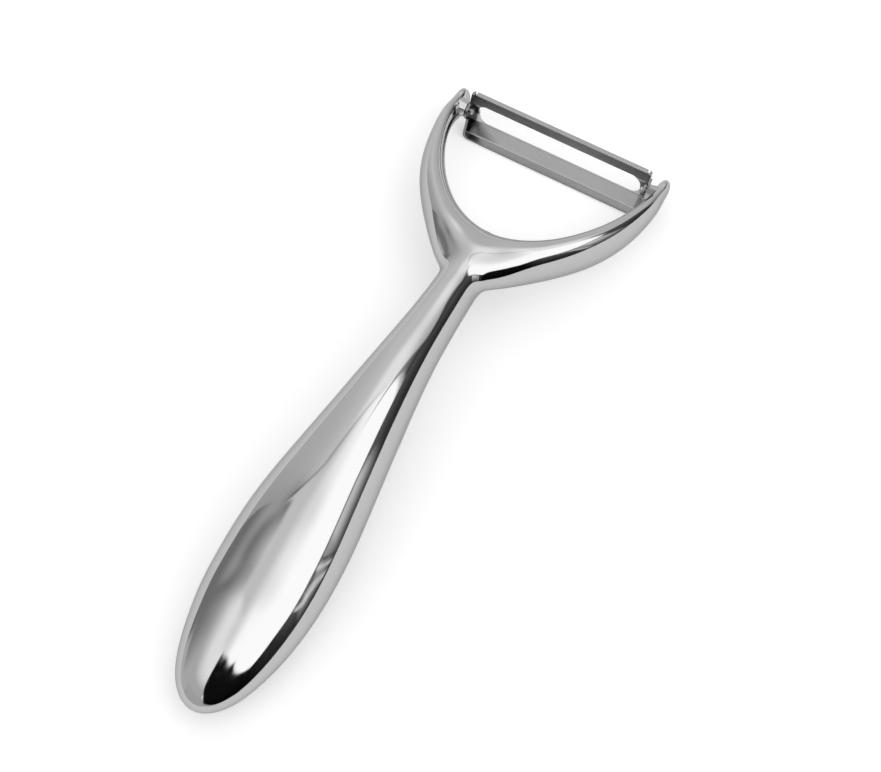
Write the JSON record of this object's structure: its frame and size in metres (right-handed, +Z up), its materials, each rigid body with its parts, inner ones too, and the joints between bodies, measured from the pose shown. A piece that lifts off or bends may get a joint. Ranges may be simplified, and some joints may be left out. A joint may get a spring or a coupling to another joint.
{
  "type": "vegetable peeler",
  "caption": "Y-shaped vegetable peeler: a polished one-piece handle and yoke with a slotted swivelling blade between its arms.",
  "frame": {"origin": "on the table under the middle of the peeler's length and width, as it lies on its handle's belly and the blade's rear edge", "axes": "+X along the handle from its butt towards the tips of the arms, +Y towards the left arm, +Z up from the table"},
  "size_m": [0.158, 0.0572, 0.0227],
  "materials": {
    "polished_casting": "mirror-polished plating over a zinc casting",
    "blade_steel": "satin stainless sheet with a ground front edge",
    "pin_steel": "plain drawn stainless wire"
  },
  "bodies": {
    "handle": {"casting": "polished_casting", "pivot_pin_left": "pin_steel", "pivot_pin_right": "pin_steel"},
    "blade": {"blade": "blade_steel"}
  },
  "joints": [
    {"name": "blade_swivel", "type": "hinge", "parent": "handle", "child": "blade", "pos_m": [0.07405, 0, 0.00692], "axis": [0, -1, 0], "range_deg": [0, 57]}
  ]
}
